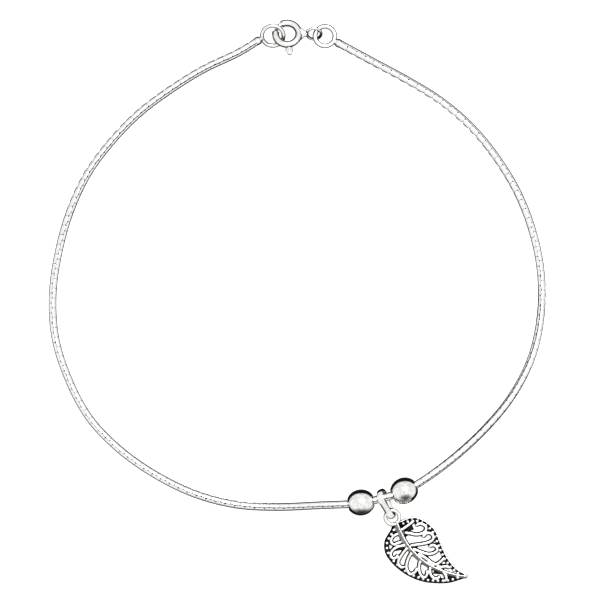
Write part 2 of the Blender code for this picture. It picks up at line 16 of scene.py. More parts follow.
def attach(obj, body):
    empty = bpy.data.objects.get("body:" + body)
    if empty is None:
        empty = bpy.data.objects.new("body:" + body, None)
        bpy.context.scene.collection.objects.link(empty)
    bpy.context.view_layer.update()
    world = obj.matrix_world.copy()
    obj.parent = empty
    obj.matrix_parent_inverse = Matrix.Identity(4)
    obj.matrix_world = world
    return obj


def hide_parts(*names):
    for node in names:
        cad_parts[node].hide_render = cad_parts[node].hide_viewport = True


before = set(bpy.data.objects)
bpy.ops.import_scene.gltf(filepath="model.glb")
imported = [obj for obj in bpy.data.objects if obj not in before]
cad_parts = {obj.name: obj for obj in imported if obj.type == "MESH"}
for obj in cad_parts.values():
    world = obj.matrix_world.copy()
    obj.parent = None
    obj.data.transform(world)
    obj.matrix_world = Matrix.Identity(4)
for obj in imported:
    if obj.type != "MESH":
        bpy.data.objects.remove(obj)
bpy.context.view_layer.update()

MM = 0.001
UP = Vector((0, 0, 1))

# Sizes and places of the solids that the pieces follow, in millimetres

CHAIN_DIA = 1.35
LIFT_RUN = 15
SOLDER_GAP = 0.08
LEFT_BEAD_AT = (10.66, -33.49)
BAIL_AT = (14.15, -32.68)
RIGHT_BEAD_AT = (17.75, -31.60)
CHAIN_ROUTE = [
    (-9.7, 41.5), (-15.6, 38.7), (-21.1, 35.3), (-26.3, 31.4), (-30.9, 26.7), (-34.9, 21.3),
    (-37.8, 15.1), (-39.7, 8.4), (-40.7, 1.4), (-40.3, -5.9), (-38.1, -12.9), (-34.6, -19.4),
    (-29.5, -24.7), (-23.5, -28.9), (-17.1, -32.0), (-10.2, -33.8), (-3.3, -34.2), (3.5, -33.9),
    LEFT_BEAD_AT, BAIL_AT, RIGHT_BEAD_AT, (20.6, -30.0), (26.1, -26.0), (31.3, -21.2),
    (35.8, -15.7), (39.1, -9.2), (40.6, -2.2), (40.6, 4.9), (39.2, 11.8), (36.7, 18.2),
    (33.2, 24.0), (29.0, 29.1), (24.0, 33.4), (18.5, 36.8), (12.9, 39.8),
]
LINE_STEP = 0.25

BEAD_DIA = 4.4
BEAD_LENGTH = 4.8
BEAD_LIP = 0.12
BEAD_BORE = 1.75
BEAD_LEVEL = 0.25  # past a bead's middle the chain keeps its height for this share of the bead

CLASP_DIA = 5.05
CLASP_TUBE_DIA = 1.17
CLASP_WALL = 0.16
CLASP_LEAN = math.radians(21)
CLASP_CENTRE = Vector((-1.66, 44.60, 1.2802))
LEFT_RING_DIA = 4.30
LEFT_RING_WIRE = 0.70
LEFT_RING_LEAN = math.radians(24.03)
RIGHT_RING_DIA = 4.10
RIGHT_RING_WIRE = 0.80
RIGHT_RING_LEAN = math.radians(6)
EYELET_DIA = 2.90
EYELET_WIRE = 0.52
EYELET_LEAN = math.radians(44.01)
NECK_LENGTH = 0.50
NECK_WIDTH = 1.00
NECK_THICK = 0.62
# How the neck narrows towards the eyelet: share of the way, share of its width
NECK_SHAPE = [(0, 2.0), (0.43, 1.95), (0.55, 1.5), (0.68, 1.18), (0.82, 1.02), (1, 1)]
ROOT_LENGTH = 0.45
LINK_OVERLAP = 0.36
LEFT_RING_SHIFT = -0.33
RIGHT_RING_SHIFT = -0.40
LEFT_ROOT_TURN = math.radians(194)
RIGHT_ROOT_TURN = math.radians(-27)
SOLDER_RUN = 0.40  # how far the solder runs out over the chain

MOUTH_FROM = 118
MOUTH_TO = 172
BOLT_REACH = 7
BOLT_TAIL = 12
BOLT_TRAVEL = 42
KNOB_TURN = 277
KNOB_ROOT = 1.42
KNOB_TIP = 0.80
KNOB_LENGTH = 1.15
KNOB_THICK = 0.80
STEM_DIA = 0.42
RUNNING_GAP = 0.11

BAIL_WIDTH = 1.10
BAIL_THICK = 0.55
BAIL_ROOM = 0.32
BAIL_LEAN = math.radians(20)
LINK_GAP = 0.07

LEAF_AT = (15.87, -35.94)
LEAF_TURN = math.radians(-37.8)
LEAF_LENGTH = 16.06
LEAF_WIDTH = 9.3
LEAF_EYELET_DIA = 3.00
LEAF_EYELET_WIRE = 0.66
LEAF_EYELET_R = (LEAF_EYELET_DIA - LEAF_EYELET_WIRE) / 2
LEAF_EYELET_Z = LEAF_EYELET_WIRE / 2 + BAIL_THICK + 2 * LINK_GAP
UPPER_RIM = (0.30, 0.72)  # width and height of the rim's wire on the leaf's two sides
LOWER_RIM = (0.13, 0.54)
RIM_WIDTH = 0.92
RIM_TAPER_RUN = 3.2
WEB_HEIGHT = 0.40
RIM_GROOVE = 0.06  # between the rim's wire and its granules
GRANULE_DIA = 0.60
GRANULE_RISE = 0.16
GRANULE_PITCH = 0.82
GRANULE_STOP = 1.6
SCROLL_WIDTH = 0.82
SCROLL_HEIGHT = 0.95
RIB_WIDTH = 1.12
RIB_HEIGHT = 1.42
RIB_TAPER = 0.6
RIB_PAINTED_SHADE = 0.58  # painted shade on the rib's flank that faces away from the ridge
BACK_RELIEF = 0.05
CASTING_GRAIN = 0.064  # the leaf's mesh is as fine as this
BUFFED_ABOVE = 0.66  # the wheel reaches what stands higher than this, and all below stays black
BLACK_BELOW = 0.56

# The leaf's lines, in shares of its length from the eyelet and of its width to the side

UPPER_EDGE = [
    (0.07, -0.02), (0.10, 0.09), (0.13, 0.18), (0.19, 0.27), (0.31, 0.325), (0.43, 0.305), (0.53, 0.215),
    (0.63, 0.115), (0.73, 0.035), (0.86, -0.005), (0.96, 0.01), (1.00, 0.0),
]
LOWER_EDGE = [
    (0.045, -0.10), (0.065, -0.19), (0.07, -0.30), (0.09, -0.44), (0.17, -0.59), (0.30, -0.66), (0.45, -0.67),
    (0.58, -0.63), (0.69, -0.555), (0.79, -0.445), (0.88, -0.315), (0.95, -0.155), (1.00, -0.02),
]
RIB_LINE = [
    (0.05, -0.03), (0.15, -0.125), (0.31, -0.24), (0.50, -0.29), (0.61, -0.28), (0.73, -0.23),
    (0.84, -0.165), (0.94, -0.08), (0.99, -0.02),
]
SCROLLS = {
    "upper_spur": [(0.15, -0.10), (0.175, 0.04), (0.20, 0.20)],
    "upper_first": [
        (0.19, -0.09), (0.25, -0.03), (0.305, 0.02), (0.345, 0.10), (0.355, 0.18), (0.335, 0.235),
        (0.285, 0.23), (0.255, 0.19), (0.245, 0.12),
    ],
    "upper_second": [
        (0.32, -0.21), (0.39, -0.09), (0.44, 0.005), (0.468, 0.09), (0.466, 0.16), (0.43, 0.195),
        (0.387, 0.165), (0.376, 0.10), (0.376, 0.035),
    ],
    "upper_third": [
        (0.36, -0.22), (0.465, -0.17), (0.527, -0.125), (0.567, -0.05), (0.575, 0.03),
        (0.542, 0.066), (0.504, 0.045), (0.488, -0.03),
    ],
    "upper_fourth": [
        (0.43, -0.25), (0.51, -0.215), (0.616, -0.21), (0.654, -0.19), (0.672, -0.125), (0.683, 0.01),
    ],
    "upper_last": [(0.67, -0.21), (0.715, -0.17), (0.745, -0.115), (0.80, -0.07)],
    "lower_first": [
        (0.15, -0.17), (0.128, -0.25), (0.13, -0.32), (0.152, -0.368), (0.187, -0.363), (0.205, -0.31),
        (0.235, -0.24),
    ],
    "lower_second": [
        (0.29, -0.25), (0.247, -0.32), (0.222, -0.39), (0.21, -0.465), (0.216, -0.53), (0.244, -0.572),
        (0.273, -0.565), (0.287, -0.515), (0.276, -0.46),
    ],
    "lower_third": [
        (0.315, -0.26), (0.313, -0.385), (0.318, -0.48), (0.327, -0.555), (0.354, -0.607),
        (0.392, -0.607), (0.415, -0.56),
    ],
    "lower_fourth": [
        (0.38, -0.28), (0.39, -0.40), (0.406, -0.48), (0.43, -0.55), (0.466, -0.595), (0.505, -0.608),
        (0.527, -0.563), (0.532, -0.50), (0.52, -0.44),
    ],
    "lower_fifth": [
        (0.50, -0.31), (0.537, -0.42), (0.578, -0.485), (0.624, -0.514), (0.649, -0.48), (0.641, -0.41),
        (0.615, -0.365),
    ],
    "lower_sixth": [
        (0.62, -0.29), (0.667, -0.375), (0.704, -0.406), (0.741, -0.397), (0.761, -0.35),
        (0.755, -0.30),
    ],
    "lower_last": [(0.75, -0.21), (0.796, -0.232), (0.827, -0.262), (0.84, -0.34)],
}

# Low webs between the scrolls: from and to, in shares as above, and their widths there in millimetres
WEBS = [
    ((0.200, -0.030), (0.238, 0.085), 0.25, 0.80),
    ((0.205, -0.100), (0.240, -0.115), 0.5, 0.4),
    ((0.215, -0.470), (0.300, -0.270), 0.35, 0.75),
    ((0.340, -0.190), (0.405, -0.185), 0.6, 0.3),
    ((0.355, 0.245), (0.400, 0.235), 0.6, 0.6),
    ((0.475, 0.140), (0.500, 0.120), 0.6, 0.5),
    ((0.700, -0.150), (0.800, -0.020), 0.4, 0.7),
    ((0.690, -0.330), (0.760, -0.230), 0.4, 0.7),
    ((0.830, -0.200), (0.900, -0.180), 0.8, 0.6),
    ((0.330, -0.560), (0.340, -0.630), 0.4, 0.7),
]

# The snake chain's plates

PLATE_PITCH = 1.64
PLATE_GAP = 0.03
PLATE_ROWS = 4
PLATE_SECTION = [  # share of the plate's half angle, share of the chain's radius
    (-1, 0.84), (-0.95, 0.97), (-0.66, 1), (0, 1), (0.66, 1), (0.95, 0.97), (1, 0.84), (0, 0.30),
]
CORNER_LENGTH = 0.13  # how far a plate's cut corners reach along it, as a share of its length
CORNER_CUTS = (0.36, 0.18)  # and across it, in one row and the next
SEAM_GAP = math.radians(2)  # on each side of a plate
CORE_SHARE = 0.62  # the dark middle, painted shade inside the chain, as a share of the chain's diameter
# How far the seam on top has turned towards the outside of the loop: share of the length, degrees
CHAIN_TWIST = [
    (0.0, -22), (0.155, -19), (0.24, 0), (0.40, 0), (0.52, 18), (0.60, 33), (0.70, 55), (0.77, 84),
    (0.81, 99), (0.91, 114), (1.0, 104),
]

# How far round a place its neighbours close it in, for the painted shade in its recesses, and on the leaf
# also the black oxide there
RECESS_REACH = 0.6
CHAIN_RECESS_REACH = 0.25
LEAF_RECESS_REACH = 0.9
RECESS_RAYS = 26
RAY_START = 0.01
GRAZING = 0.15  # the least cosine between a ray and the surface's normal

# How much painted shade lies along the sides of what lies flat, as a share
CHAIN_PAINTED_SIDE_SHADE = 0.62
RING_PAINTED_SIDE_SHADE = 0.85
BOLT_PAINTED_SIDE_SHADE = 0.6
LEAF_PAINTED_SIDE_SHADE = 0.8
# How steeply a side turns away from the top, as a sine, where the painted shade starts, and where it is full
FLANK_RISE = (0.68, 0.86)
RING_FLANK_RISE = (0.45, 0.70)
LEAF_FLANK_RISE = (0.55, 0.78)

# The dark patch painted on each bead as a reflection: its middle from the bead's own, and its reach along X,
# Y and Z
LEFT_BEAD_PAINTED_REFLECTION = ((0.16, -1.56, 1.54), (3.8, 1.8, 1.8))
RIGHT_BEAD_PAINTED_REFLECTION = ((0.22, -1.17, 1.85), (2.6, 1.5, 1.5))
PAINTED_REFLECTION_DEPTH = 0.85

# Random patchiness in the painted shade and tarnish
CLOUD_SIZE = 0.35
CLOUD_DEPTH = 0.30


# Curves and frames


def smooth_curve(points, steps=12):
    """A centripetal Catmull-Rom curve through the points."""
    points = np.array(points, float)
    points = np.vstack([2 * points[0] - points[1], points, 2 * points[-1] - points[-2]])
    knots = np.concatenate([[0], np.cumsum(np.sqrt(np.linalg.norm(np.diff(points, axis=0), axis=1)))])
    curve = []
    for i in range(len(points) - 3):
        for t in np.linspace(knots[i + 1], knots[i + 2], steps, endpoint=False):
            spans = [i, i + 1, i + 2]
            first, second, third = (mix(points[k], points[k + 1], knots[k], knots[k + 1], t) for k in spans)
            first = mix(first, second, knots[i], knots[i + 2], t)
            second = mix(second, third, knots[i + 1], knots[i + 3], t)
            curve.append(mix(first, second, knots[i + 1], knots[i + 2], t))
    curve.append(points[-2])
    return np.array(curve)


def mix(first, second, start, end, t):
    return ((end - t) * first + (t - start) * second) / (end - start)


def lengths_along(curve):
    return np.concatenate([[0], np.cumsum(np.linalg.norm(np.diff(curve, axis=0), axis=1))])


def evenly(curve, spacing):
    """The curve again, at even steps of about this spacing."""
    along = lengths_along(curve)
    wanted = np.linspace(0, along[-1], max(2, round(along[-1] / spacing) + 1))
    return np.stack([np.interp(wanted, along, column) for column in curve.T], axis=1)


def fade(share):
    """1 at 0, easing to 0 at 1 and staying there."""
    share = np.clip(share, 0, 1)
    return 1 - share * share * (3 - 2 * share)


def leaning(at, lean):
    return Matrix.Translation(at) @ Matrix.Rotation(lean, 4, "X")


def frame_up(ring_frame):
    return (ring_frame.to_3x3() @ UP).normalized()


def ring_point(radius, turn):
    return Vector((radius * math.cos(turn), radius * math.sin(turn), 0))


def arc_points(ring_frame, radius, start, end, step):
    """Points round a ring from one angle to another, in degrees."""
    count = max(2, round(abs(end - start) / step) + 1)
    return [ring_frame @ ring_point(radius, math.radians(turn)) for turn in np.linspace(start, end, count)]


def frames_on(path, sizes, up=UP, closed=False):
    """A frame at each point of a path: x to the left and y up, scaled by the size there, and z ahead."""
    path = [Vector(point) for point in path]
    frames = []
    for i, (point, (width, height)) in enumerate(zip(path, sizes)):
        before = path[i - 1] if i or closed else point
        after = path[(i + 1) % len(path)] if i + 1 < len(path) or closed else point
        ahead = (after - before).normalized()
        left = up.cross(ahead).normalized()
        turn = Matrix((left * width, ahead.cross(left) * height, ahead)).transposed().to_4x4()
        frames.append(Matrix.Translation(point) @ turn)
    return frames


CLASP_R = (CLASP_DIA - CLASP_TUBE_DIA) / 2
LEFT_R = (LEFT_RING_DIA - LEFT_RING_WIRE) / 2
RIGHT_R = (RIGHT_RING_DIA - RIGHT_RING_WIRE) / 2
EYELET_R = (EYELET_DIA - EYELET_WIRE) / 2
CLASP_FRAME = leaning(CLASP_CENTRE, -CLASP_LEAN)
EYELET_CENTRE = CLASP_CENTRE + Vector((CLASP_DIA / 2 + NECK_LENGTH + EYELET_DIA / 2, 0, 0))
EYELET_FRAME = leaning(EYELET_CENTRE, EYELET_LEAN)
LEFT_CENTRE = CLASP_CENTRE + Vector((-(LEFT_R + CLASP_R) * (1 - LINK_OVERLAP), LEFT_RING_SHIFT, 0))
LEFT_FRAME = leaning(LEFT_CENTRE, LEFT_RING_LEAN)
RIGHT_CENTRE = EYELET_CENTRE + Vector(((RIGHT_R + EYELET_R) * (1 - LINK_OVERLAP), RIGHT_RING_SHIFT, 0))
RIGHT_FRAME = leaning(RIGHT_CENTRE, -RIGHT_RING_LEAN)


def root_ends(ring_frame, radius, wire, turn, towards):
    """A ring's solder root: from inside its wire, level, towards a place on the chain's route."""
    start = ring_frame @ ring_point(radius, turn)
    heading = Vector((towards[0] - start.x, towards[1] - start.y, 0)).normalized()
    return start, start + heading * (wire / 2 + ROOT_LENGTH)


LEFT_ROOT = root_ends(LEFT_FRAME, LEFT_R, LEFT_RING_WIRE, LEFT_ROOT_TURN, CHAIN_ROUTE[0])
RIGHT_ROOT = root_ends(RIGHT_FRAME, RIGHT_R, RIGHT_RING_WIRE, RIGHT_ROOT_TURN, CHAIN_ROUTE[-1])


def nearest_index(line, at):
    return int(np.linalg.norm(line[:, :2] - np.array(at), axis=1).argmin())


def chain_line():
    """The chain's centre line: resting on the table, but lifted by its beads and by the clasp."""
    first, last = (end + (end - start).normalized() * SOLDER_GAP for start, end in (LEFT_ROOT, RIGHT_ROOT))
    line = evenly(smooth_curve([first[:2], *CHAIN_ROUTE, last[:2]]), LINE_STEP)
    along = lengths_along(line)
    beads = [along[nearest_index(line, at)] for at in (LEFT_BEAD_AT, RIGHT_BEAD_AT)]
    floor = CHAIN_DIA / 2
    from_beads = np.maximum(np.maximum(beads[0] - along, along - beads[1]) - BEAD_DIA * BEAD_LEVEL, 0)
    height = floor + (BEAD_DIA / 2 - floor) * fade(from_beads / LIFT_RUN)
    height += (first.z - floor) * fade(along / LIFT_RUN)
    height += (last.z - floor) * fade((along[-1] - along) / LIFT_RUN)
    return np.column_stack([line, height])


def place_on(line, at, length):
    """The middle and the direction of a stretch of the line, as long as the piece that it runs through."""
    i = nearest_index(line, at)
    reach = round(length / 2 / LINE_STEP)
    before, after = line[i - reach], line[i + reach]
    return Vector((before + 2 * line[i] + after) / 4), Vector(after - before).normalized()


# Making meshes


def sweep(bm, frames, section=None, sides=16, closed=False):
    """Extrudes a unit circle, or another section, from frame to frame."""
    if section is None:
        disc = bmesh.ops.create_circle(bm, cap_ends=True, segments=sides, radius=1, matrix=frames[0])
        face = disc["verts"][0].link_faces[0]
    else:
        face = bm.faces.new([bm.verts.new(frames[0] @ Vector((x, y, 0))) for x, y in section])
    first = face
    for before, after in zip(frames, [*frames[1:], *frames[:1] * closed]):
        face = extruded(bm, face, keep=face is first and not closed)
        bmesh.ops.transform(bm, matrix=after @ before.inverted(), verts=face.verts)
    if closed:
        bmesh.ops.delete(bm, geom=[face], context="FACES_ONLY")
        bmesh.ops.remove_doubles(bm, verts=bm.verts, dist=1e-4)


def extruded(bm, face, keep):
    """The new end face of a sweep, with the old one kept only where it closes the start."""
    new = bmesh.ops.extrude_face_region(bm, geom=[face])["geom"]
    if not keep:
        bmesh.ops.delete(bm, geom=[face], context="FACES_ONLY")
    return next(item for item in new if isinstance(item, bmesh.types.BMFace))


def spun_ring(bm, ring_frame, radius, wire, sides=20, around=72):
    place = ring_frame @ Matrix.Translation((radius, 0, 0)) @ Matrix.Rotation(math.pi / 2, 4, "X")
    section = bmesh.ops.create_circle(bm, segments=sides, radius=wire / 2, matrix=place)["verts"]
    edges = {edge for vert in section for edge in vert.link_edges}
    bmesh.ops.spin(
        bm, geom=[*section, *edges], cent=ring_frame.translation, axis=frame_up(ring_frame),
        angle=2 * math.pi, steps=around, use_merge=True,
    )


def rounded_ends(path, width, height, tip):
    """Sizes for a sweep whose two ends close in a quarter circle, over the length of the tip."""
    along = lengths_along(np.array(path))
    from_end = np.minimum(along, along[-1] - along)
    share = np.sqrt(1 - (1 - np.clip(from_end / tip, 0.02, 1)) ** 2)
    return [(width * s, height * s) for s in share]


def helper_object(name, bm):
    bmesh.ops.recalc_face_normals(bm, faces=bm.faces)
    mesh = bpy.data.meshes.new(name)
    bm.to_mesh(mesh)
    bm.free()
    obj = bpy.data.objects.new(name, mesh)
    bpy.context.scene.collection.objects.link(obj)
    return obj


def worked(bm, steps):
    """The mesh after a row of modifiers, each given as its kind and its settings."""
    helper = helper_object("work", bm)
    for kind, settings in steps:
        modifier = helper.modifiers.new(kind, kind)
        for name, value in settings.items():
            setattr(modifier, name, value)
    result = bmesh.new()
    result.from_object(helper, bpy.context.evaluated_depsgraph_get())
    for obj in [helper, *(s["object"] for _, s in steps if "object" in s)]:
        bpy.data.objects.remove(obj)
    return result


def joined(name, bm):
    return ("BOOLEAN", {"operation": "UNION", "solver": "EXACT", "object": helper_object(name, bm)})


def cut(name, bm):
    return ("BOOLEAN", {"operation": "DIFFERENCE", "solver": "EXACT", "object": helper_object(name, bm)})


def mark_recesses(bm, reach):
    """Stores for each point how closed in it is, from 0 in the open to 1: the materials darken closed-in
    places as painted shade, and on the cast leaf also as oxide left in its hollows.
    """
    golden = math.pi * (3 - math.sqrt(5))
    levels = [1 - 2 * (i + 0.5) / RECESS_RAYS for i in range(RECESS_RAYS)]
    directions = [
        Vector((math.sqrt(1 - z * z) * math.cos(i * golden), math.sqrt(1 - z * z) * math.sin(i * golden), z))
        for i, z in enumerate(levels)
    ]
    bm.normal_update()
    tree = BVHTree.FromBMesh(bm)
    layer = bm.verts.layers.float.new("recess")
    for vert in bm.verts:
        start = vert.co + vert.normal * RAY_START
        open_rays = [ray for ray in directions if ray.dot(vert.normal) > GRAZING]
        hits = sum(tree.ray_cast(start, ray, reach)[0] is not None for ray in open_rays)
        vert[layer] = hits / max(1, len(open_rays))


def mark_painted_side_shade(bm, most, rise):
    """Adds painted shade along a wire's two sides, darker the further the surface turns away from the top."""
    layer = bm.verts.layers.float["recess"]
    for vert in bm.verts:
        sideways = math.sqrt(max(0, 1 - vert.normal.z ** 2))
        share = min(max((sideways - rise[0]) / (rise[1] - rise[0]), 0), 1)
        vert[layer] = max(vert[layer], share * most)


def mark_painted_reflection(bm, middle, reach):
    """Adds a dark patch of painted reflection with a soft edge."""
    layer = bm.verts.layers.float["recess"]
    for vert in bm.verts:
        share = Vector(((a - b) / size for a, b, size in zip(vert.co, middle, reach))).length
        vert[layer] = max(vert[layer], PAINTED_REFLECTION_DEPTH * fade(share))


def finish_piece(
    name, bm, materials, node, body="anklet", sharp=40, recess=RECESS_REACH,
    side_shade=0.0, rise=FLANK_RISE,
):
    """A piece in metres that takes a solid's place."""
    bmesh.ops.remove_doubles(bm, verts=bm.verts, dist=1e-4)
    bmesh.ops.recalc_face_normals(bm, faces=bm.faces)
    if "recess" not in bm.verts.layers.float:
        mark_recesses(bm, recess)
    # Painted shade on the sides that turn away from the top
    mark_painted_side_shade(bm, side_shade, rise)
    bm.transform(Matrix.Scale(MM, 4))
    mesh = bpy.data.meshes.new(name)
    bm.to_mesh(mesh)
    bm.free()
    mesh.shade_smooth()
    mesh.set_sharp_from_angle(angle=math.radians(sharp))
    for material in materials:
        mesh.materials.append(material)
    piece = bpy.data.objects.new(name, mesh)
    bpy.context.scene.collection.objects.link(piece)
    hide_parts(node)
    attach(piece, body)
    return piece


# Materials


def colour(code):
    """An sRGB hex value as linear red, green, blue and alpha."""
    parts = [int(code[i:i + 2], 16) / 255 for i in (0, 2, 4)]
    return (*(c / 12.92 if c <= 0.04045 else ((c + 0.055) / 1.055) ** 2.4 for c in parts), 1)


def node(tree, kind, links=(), **settings):
    """Adds a node. A setting is a property, or the value of the input of that name or number."""
    made = tree.nodes.new(kind)
    for name, value in settings.items():
        if name == "inputs":
            for key, content in value.items():
                made.inputs[key].default_value = content
        else:
            setattr(made, name, value)
    for source, target in links:
        tree.links.new(source, made.inputs[target])
    return made


def ramp(tree, source, stops):
    """A colour ramp over the source, with its stops as (place, hex colour)."""
    made = node(tree, "ShaderNodeValToRGB", [(source, "Fac")])
    elements = made.color_ramp.elements
    elements[0].position, elements[0].color = stops[0][0], colour(stops[0][1])
    elements[1].position, elements[1].color = stops[-1][0], colour(stops[-1][1])
    for place, code in stops[1:-1]:
        elements.new(place).color = colour(code)
    return made


def per_mm(size):
    """A texture's scale on Object coordinates in metres, for a pattern of this size in millimetres."""
    return 1 / (size * MM)


def silver(name, bright, dark, polish, dark_roughness, closed_in, ripple, ripple_depth):
    """Silver darkened by its recess attribute: painted shade in recesses, on sides and in the beads' painted
    reflection, and on the cast leaf also the black oxide of its hollows.
    """
    material = bpy.data.materials.new(name)
    material.use_nodes = True
    tree = material.node_tree
    shader = tree.nodes["Principled BSDF"]
    shader.inputs["Metallic"].default_value = 1
    place = node(tree, "ShaderNodeTexCoord").outputs["Object"]
    recess = node(tree, "ShaderNodeAttribute", attribute_name="recess").outputs["Fac"]
    cloud = node(
        tree, "ShaderNodeTexNoise", [(place, "Vector")], inputs={"Scale": per_mm(CLOUD_SIZE), "Detail": 3}
    ).outputs["Fac"]
    patchy = node(
        tree, "ShaderNodeMath", [(cloud, 0)], operation="MULTIPLY_ADD",
        inputs={1: CLOUD_DEPTH, 2: -CLOUD_DEPTH / 2},
    )
    # The recess attribute with random patches: painted shade, and on the cast leaf also real oxide
    shade_with_patches = node(tree, "ShaderNodeMath", [(recess, 0), (patchy.outputs[0], 1)], operation="ADD")
    shade_and_tarnish = node(
        tree, "ShaderNodeMapRange", [(shade_with_patches.outputs[0], "Value")],
        inputs={"From Min": closed_in[0], "From Max": closed_in[1]}, interpolation_type="SMOOTHSTEP",
    ).outputs["Result"]
    tint = ramp(tree, shade_and_tarnish, [(0, bright), (1, dark)])
    tree.links.new(tint.outputs["Color"], shader.inputs["Base Color"])
    rough = node(
        tree, "ShaderNodeMapRange", [(shade_and_tarnish, "Value")], inputs={"To Min": polish, "To Max": dark_roughness}
    )
    tree.links.new(rough.outputs["Result"], shader.inputs["Roughness"])
    wave = node(
        tree, "ShaderNodeTexNoise", [(place, "Vector")], inputs={"Scale": per_mm(ripple), "Detail": 2}
    )
    bump = node(
        tree, "ShaderNodeBump", [(wave.outputs["Fac"], "Height")],
        inputs={"Strength": 1.0, "Distance": ripple_depth * MM},
    )
    tree.links.new(bump.outputs["Normal"], shader.inputs["Normal"])
    return material


def chain_core_shade():
    """A dark core of painted shade inside the chain, seen through its seams, where only a dull glint comes
    back.
    """
    material = bpy.data.materials.new("dark chain core, painted shade")
    material.use_nodes = True
    shader = material.node_tree.nodes["Principled BSDF"]
    shader.inputs["Base Color"].default_value = colour("2E2D2B")
    shader.inputs["Metallic"].default_value = 1
    shader.inputs["Roughness"].default_value = 0.55
    return material


# Sterling silver, buffed to a mirror by hand: it shows soft ripples, with painted shade beside its joints and
# along its sides.
buffed_silver = silver("buffed sterling silver", "F4F3F0", "5A5855", 0.09, 0.4, (0.35, 0.85), 1.6, 0.010)
# Rolled and drawn silver strip, tumbled: bright, and a little softer than a mirror, with painted shade in the
# seams between its plates and along its sides.
strip_silver = silver("tumbled silver strip", "F4F4F2", "2E2D2C", 0.15, 0.5, (0.26, 0.55), 0.5, 0.003)
# Cast silver, dipped black and then buffed: its tops shine and its hollows keep the black oxide, and painted
# shade darkens its narrow grooves and sides too.
dipped_silver = silver("oxidised cast silver", "F0EFEC", "1C1B1A", 0.16, 0.55, (0.38, 0.72), 0.45, 0.010)


# Pieces


def plate(stations, length):
    """One plate of the snake chain, or half of one: straight, with z along the chain."""
    half = math.pi / PLATE_ROWS - SEAM_GAP
    bm = bmesh.new()
    first = face = bm.faces.new([bm.verts.new((0, 0, 0)) for _ in PLATE_SECTION])
    for station, (z, height, spread) in enumerate(stations):
        if station:
            face = extruded(bm, face, keep=face is first)
        for vert, (share, r) in zip(face.verts, PLATE_SECTION):
            turn = share * half * spread
            outwards = Vector((math.sin(turn), math.cos(turn), 0))
            vert.co = outwards * r * height * CHAIN_DIA / 2 + UP * z * length
    return bm


def make_chain(line):
    """Four rows of interlocking plates round a dark core of painted shade, twisting slowly as the chain lies.
    """
    along = lengths_along(line)
    total = along[-1]
    ahead = np.gradient(line, axis=0)
    ahead /= np.linalg.norm(ahead, axis=1)[:, None]
    left = np.cross([0, 0, 1], ahead)
    left /= np.linalg.norm(left, axis=1)[:, None]
    lift = np.cross(ahead, left)
    shares, turns = np.array(CHAIN_TWIST).T
    count = round(total / PLATE_PITCH)
    pitch = total / count
    templates = {}
    for parity, corner in enumerate(CORNER_CUTS):
        last = [(0.5 - CORNER_LENGTH, 1, 1), (0.47, 1, 1 - corner * 0.8), (0.5, 0.97, 1 - corner)]
        first = [(-z, height, spread) for z, height, spread in reversed(last)]
        kinds = {"whole": first + last, "first": [(0, 1, 1), *last], "last": [*first, (0, 1, 1)]}
        for kind, stations in kinds.items():
            straight = plate(stations, pitch - PLATE_GAP)
            template = templates[kind, parity] = bpy.data.meshes.new(kind)
            straight.to_mesh(template)
            straight.free()

    def on_chain(point, middle, quarter):
        """Bends a straight point, with z along the chain, round the chain's own line."""
        s = point.z + middle
        turn = math.radians(np.interp(s / total, shares, turns)) + (quarter + 0.5) * math.pi / 2
        across = point.x * math.cos(turn) + point.y * math.sin(turn)
        above = point.y * math.cos(turn) - point.x * math.sin(turn)
        at, side, top = (np.array([np.interp(s, along, c) for c in v.T]) for v in (line, left, lift))
        return at - side * across + top * above

    bm = bmesh.new()
    for quarter in range(PLATE_ROWS):
        row = [("whole", i + 0.5) for i in range(count)]
        if quarter % 2:
            row = [("first", 0), *(("whole", i + 1) for i in range(count - 1)), ("last", count)]
        for kind, place in row:
            start = len(bm.verts)
            bm.from_mesh(templates[kind, quarter % 2])
            bm.verts.ensure_lookup_table()
            for vert in bm.verts[start:]:
                vert.co = on_chain(vert.co, place * pitch, quarter)
    for template in templates.values():
        bpy.data.meshes.remove(template)
    plates = len(bm.faces)
    core = evenly(line, PLATE_PITCH / 2)
    radius = CHAIN_DIA / 2 * CORE_SHARE
    sweep(bm, frames_on(core, [(radius, radius)] * len(core)), sides=8)
    bm.faces.ensure_lookup_table()
    for face in bm.faces[plates:]:
        face.material_index = 1
    finish_piece(
        "fine_snake_chain", bm, [strip_silver, chain_core_shade()], "snake_chain",
        sharp=35, recess=CHAIN_RECESS_REACH, side_shade=CHAIN_PAINTED_SIDE_SHADE,
    )


